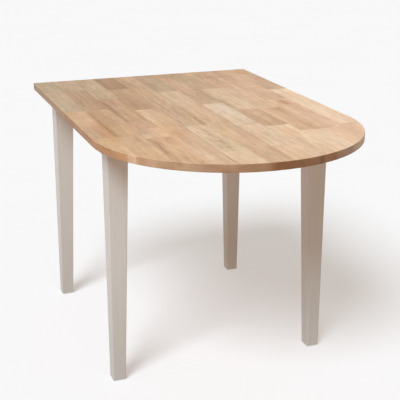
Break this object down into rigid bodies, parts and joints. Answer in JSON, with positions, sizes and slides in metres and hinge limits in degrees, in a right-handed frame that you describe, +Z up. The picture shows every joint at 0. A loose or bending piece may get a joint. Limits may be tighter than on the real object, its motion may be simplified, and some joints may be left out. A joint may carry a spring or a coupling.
{
  "type": "drop leaf table",
  "caption": "Dining table with a striped butcher-block top, straight at the rear, a half-round drop leaf at the front on hinges and folding props, and tapered painted legs.",
  "frame": {"origin": "on the floor under the middle of the whole table, with the leaf up", "axes": "+Z up, +Y towards the straight rear edge, +X to the right of someone who looks along +Y"},
  "size_m": [0.77, 1.15, 0.75],
  "materials": {
    "top_wood": "satin lacquer over glued staves",
    "painted_wood": "satin warm grey-cream paint",
    "raw_wood": "unfinished planed hardwood",
    "zinc_steel": "zinc-plated steel",
    "glide_plastic": "moulded nylon"
  },
  "bodies": {
    "base": {"fixed_top": "top_wood", "leg_front_left": "painted_wood", "leg_front_right": "painted_wood", "leg_rear_left": "painted_wood", "leg_rear_right": "painted_wood", "corner_block_front_left": "raw_wood", "corner_block_front_right": "raw_wood", "corner_block_rear_left": "raw_wood", "corner_block_rear_right": "raw_wood", "rail_front": "painted_wood", "rail_rear": "painted_wood", "rail_left": "painted_wood", "rail_right": "painted_wood", "hanger_bolts": "zinc_steel", "hanger_washers": "zinc_steel", "hanger_nuts": "zinc_steel", "foot_glides": "glide_plastic", "top_screws": "zinc_steel", "top_angle_brackets": "zinc_steel", "top_angle_screws": "zinc_steel", "hinge_fixed_plate_left": "zinc_steel", "hinge_fixed_plate_middle": "zinc_steel", "hinge_fixed_plate_right": "zinc_steel", "hinge_pin_left": "zinc_steel", "hinge_pin_middle": "zinc_steel", "hinge_pin_right": "zinc_steel", "hinge_fixed_screws": "zinc_steel", "prop_bracket_left": "zinc_steel", "prop_bracket_right": "zinc_steel", "prop_pin_left": "zinc_steel", "prop_pin_right": "zinc_steel", "prop_bracket_screws": "zinc_steel"},
    "leaf": {"drop_leaf": "top_wood", "hinge_leaf_plate_left": "zinc_steel", "hinge_leaf_plate_middle": "zinc_steel", "hinge_leaf_plate_right": "zinc_steel", "hinge_leaf_screws": "zinc_steel", "prop_catch_left": "raw_wood", "prop_catch_right": "raw_wood", "prop_catch_screws": "zinc_steel"},
    "prop_left": {"prop_arm_left": "painted_wood"},
    "prop_right": {"prop_arm_right": "painted_wood"}
  },
  "joints": [
    {"name": "leaf_hinge", "type": "hinge", "parent": "base", "child": "leaf", "pos_m": [0, -0.205, 0.7237], "axis": [1, 0, 0], "range_deg": [0, 90]},
    {"name": "prop_left_fold", "type": "hinge", "parent": "base", "child": "prop_left", "pos_m": [-0.14, -0.185, 0.652], "axis": [1, 0, 0], "range_deg": [0, 110]},
    {"name": "prop_right_fold", "type": "hinge", "parent": "base", "child": "prop_right", "pos_m": [0.14, -0.185, 0.652], "axis": [1, 0, 0], "range_deg": [0, 110]}
  ],
  "couplings": [
    {"joint": "prop_left_fold", "follows": "leaf_hinge", "ratio": 1.2222},
    {"joint": "prop_right_fold", "follows": "leaf_hinge", "ratio": 1.2222}
  ]
}
